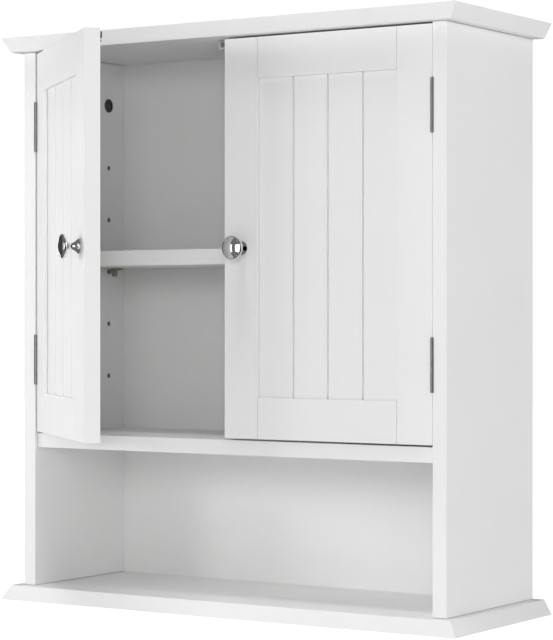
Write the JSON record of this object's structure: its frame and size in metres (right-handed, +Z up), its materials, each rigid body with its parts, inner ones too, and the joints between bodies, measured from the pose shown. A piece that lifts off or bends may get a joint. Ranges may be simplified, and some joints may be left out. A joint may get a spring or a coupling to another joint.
{
  "type": "hanging wall cabinet",
  "caption": "White wall-hung cabinet with beadboard doors, an adjustable shelf inside and an open cubby below.",
  "frame": {"origin": "middle of the crown panel's rear edge, on the wall", "axes": "+X to the viewer's right, +Y into the wall, +Z up"},
  "size_m": [0.545, 0.3465, 0.592],
  "materials": {
    "white_paint": "satin white paint on board",
    "bare_board": "unpainted board",
    "white_plastic": "moulded",
    "chrome": "polished",
    "nickel": "satin nickel plate",
    "dull_nickel": "dull plate",
    "dark_steel": "dark",
    "zinc": "zinc plate"
  },
  "bodies": {
    "cabinet": {"crown_panel": "white_paint", "base_panel": "white_paint", "left_side_panel": "white_paint", "right_side_panel": "white_paint", "fixed_shelf": "white_paint", "back_panel": "white_paint", "hanging_rail": "bare_board", "left_hanger_plate": "zinc", "right_hanger_plate": "zinc", "left_lower_hinge_fixed_leaf": "nickel", "left_lower_hinge_pin": "nickel", "left_upper_hinge_fixed_leaf": "nickel", "left_upper_hinge_pin": "nickel", "left_front_shelf_pin": "dull_nickel", "left_front_crown_cam": "dark_steel", "left_front_crown_bolt": "zinc", "left_front_base_screw": "zinc", "left_rear_shelf_pin": "dull_nickel", "left_rear_crown_cam": "dark_steel", "left_rear_crown_bolt": "zinc", "left_rear_base_screw": "zinc", "left_shelf_cam": "dark_steel", "left_shelf_bolt": "zinc", "right_lower_hinge_fixed_leaf": "nickel", "right_lower_hinge_pin": "nickel", "right_upper_hinge_fixed_leaf": "nickel", "right_upper_hinge_pin": "nickel", "right_front_shelf_pin": "dull_nickel", "right_front_crown_cam": "dark_steel", "right_front_crown_bolt": "zinc", "right_front_base_screw": "zinc", "right_rear_shelf_pin": "dull_nickel", "right_rear_crown_cam": "dark_steel", "right_rear_crown_bolt": "zinc", "right_rear_base_screw": "zinc", "right_shelf_cam": "dark_steel", "right_shelf_bolt": "zinc", "magnetic_catch_body": "white_plastic", "magnetic_catch_magnet": "dark_steel"},
    "shelf": {"adjustable_shelf": "white_paint"},
    "left_door": {"left_door_hinge_stile": "white_paint", "left_door_free_stile": "white_paint", "left_door_top_rail": "white_paint", "left_door_bottom_rail": "white_paint", "left_door_beadboard": "white_paint", "left_door_knob": "chrome", "left_door_knob_screw": "zinc", "left_door_strike_plate": "dark_steel", "left_lower_hinge_door_leaf": "nickel", "left_upper_hinge_door_leaf": "nickel"},
    "right_door": {"right_door_hinge_stile": "white_paint", "right_door_free_stile": "white_paint", "right_door_top_rail": "white_paint", "right_door_bottom_rail": "white_paint", "right_door_beadboard": "white_paint", "right_door_knob": "chrome", "right_door_knob_screw": "zinc", "right_door_strike_plate": "dark_steel", "right_lower_hinge_door_leaf": "nickel", "right_upper_hinge_door_leaf": "nickel"}
  },
  "joints": [
    {"name": "left_door_hinge", "type": "hinge", "parent": "cabinet", "child": "left_door", "pos_m": [-0.23855, -0.186, -0.208], "axis": [0, 0, -1], "range_deg": [-40.2, 125]},
    {"name": "right_door_hinge", "type": "hinge", "parent": "cabinet", "child": "right_door", "pos_m": [0.23855, -0.186, -0.208], "axis": [0, 0, 1], "range_deg": [0, 165]},
    {"name": "shelf_lift", "type": "slide", "parent": "cabinet", "child": "shelf", "axis": [0, 0, 1], "range_m": [0, 0.04]}
  ]
}
